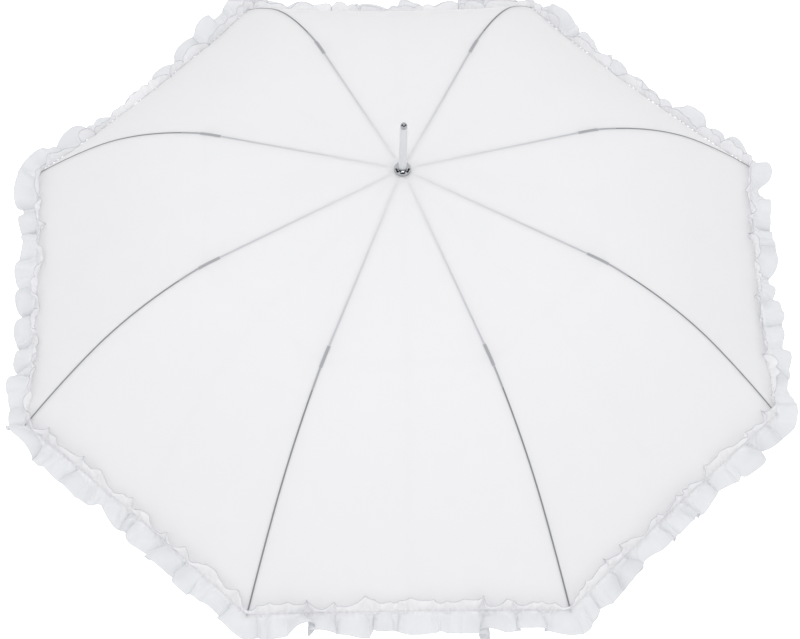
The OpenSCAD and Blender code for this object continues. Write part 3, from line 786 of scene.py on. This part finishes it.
def make_floor():
    """A wide white floor just under the handle, which is clear from below.

    It glows to the eye but lights the parasol only a little, so that the white handle and the
    inside of the canopy keep their shading.
    """
    size = FLOOR_SIZE
    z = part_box("handle")[0].z - FLOOR_GAP
    mesh = bpy.data.meshes.new("floor")
    corners = [(-size, -size, z), (size, -size, z), (size, size, z), (-size, size, z)]
    mesh.from_pydata(corners, [], [(0, 1, 2, 3)])
    material, tree, shader = new_material("white studio floor", 0.9, 0.0, "#ffffff")
    shader.inputs["Specular IOR Level"].default_value = 0.0
    shader.inputs["Emission Color"].default_value = (1, 1, 1, 1)
    seen = add(tree, "ShaderNodeLightPath").outputs["Is Camera Ray"]
    glow = maths(tree, "MULTIPLY_ADD", seen, SEEN_GLOW, CAST_GLOW)
    tree.links.new(glow, shader.inputs["Emission Strength"])
    under = add(tree, "ShaderNodeNewGeometry").outputs["Backfacing"]
    clear = add(tree, "ShaderNodeBsdfTransparent").outputs[0]
    whole = add(tree, "ShaderNodeMixShader", {}, {}, {0: under, 1: shader.outputs[0], 2: clear})
    tree.links.new(whole.outputs[0], tree.nodes["Material Output"].inputs["Surface"])
    mesh.materials.append(material)
    floor = bpy.data.objects.new("floor", mesh)
    bpy.context.scene.collection.objects.link(floor)
    return floor


floor = make_floor()
print("floor at", round(floor.data.vertices[0].co.z, 4))


# %% Boards and lamps
def make_board(name, centre, size, facing):
    """A dark board that only reflections see."""
    mesh = bpy.data.meshes.new(name)
    w, h = size[0] / 2, size[1] / 2
    mesh.from_pydata([(-w, -h, 0), (w, -h, 0), (w, h, 0), (-w, h, 0)], [], [(0, 1, 2, 3)])
    material, _, _ = new_material("black studio board", 0.9, 0.0, "#101010")
    mesh.materials.append(material)
    board = bpy.data.objects.new(name, mesh)
    board.location = centre
    board.rotation_euler = (Vector(facing) - Vector(centre)).to_track_quat("Z", "Y").to_euler()
    board.visible_camera = False
    board.visible_diffuse = False
    board.visible_shadow = False
    board.visible_transmission = False
    bpy.context.scene.collection.objects.link(board)
    return board


def make_lamp(name, place, size, power):
    """A square soft lamp aimed at the middle of the parasol."""
    data = bpy.data.lights.new(name, "AREA")
    data.size = size
    data.energy = power
    lamp = bpy.data.objects.new(name, data)
    lamp.location = place
    lamp.rotation_euler = (Vector((0, 0, 0.5)) - Vector(place)).to_track_quat("-Z", "Y").to_euler()
    bpy.context.scene.collection.objects.link(lamp)
    return lamp


# %% Camera
CAMERA_AT = CROWN + Vector((-0.119, -2.302, 3.067))
CAMERA_AHEAD = Vector((0.0297, 0.5613, -0.827))
ROLL = math.radians(1.84)


def make_camera():
    """A long lens in front of and above the parasol, turned a little about its axis."""
    data = bpy.data.cameras.new("camera")
    data.sensor_width = 36.0
    data.lens = 141.9
    data.clip_end = 100.0
    camera = bpy.data.objects.new("camera", data)
    ahead = CAMERA_AHEAD.normalized()
    turn = ahead.to_track_quat("-Z", "Y").to_matrix() @ Matrix.Rotation(ROLL, 3, "Z")
    camera.matrix_world = Matrix.Translation(CAMERA_AT) @ turn.to_4x4()
    bpy.context.scene.collection.objects.link(camera)
    bpy.context.scene.camera = camera
    return camera


# %% Studio
boards = [
    make_board("overhead board", (0.0, -0.9, 4.6), (4.4, 5.6), CROWN),
    make_board("front board", (0.0, -4.4, 2.7), (5.0, 4.8), CROWN),
    make_board("left board", (-4.4, -0.6, 2.6), (5.0, 4.6), CROWN),
    make_board("right board", (4.4, -0.6, 2.6), (5.0, 4.6), CROWN),
]
lamps = [
    make_lamp("front lamp", (-0.9, -2.4, 3.4), 0.9, 3.5),
    make_lamp("top lamp", (0.1, -0.7, 4.2), 1.4, 22.0),
]
world = bpy.data.worlds.new("studio")
world.use_nodes = True
backdrop = world.node_tree.nodes["Background"]
backdrop.inputs["Color"].default_value = (1.0, 1.0, 1.0, 1.0)
backdrop.inputs["Strength"].default_value = 0.92
bpy.context.scene.world = world
camera = make_camera()
scene = bpy.context.scene
scene.view_settings.view_transform = "Standard"
scene.view_settings.look = "None"
scene.cycles.transparent_max_bounces = 16
print("studio ready")
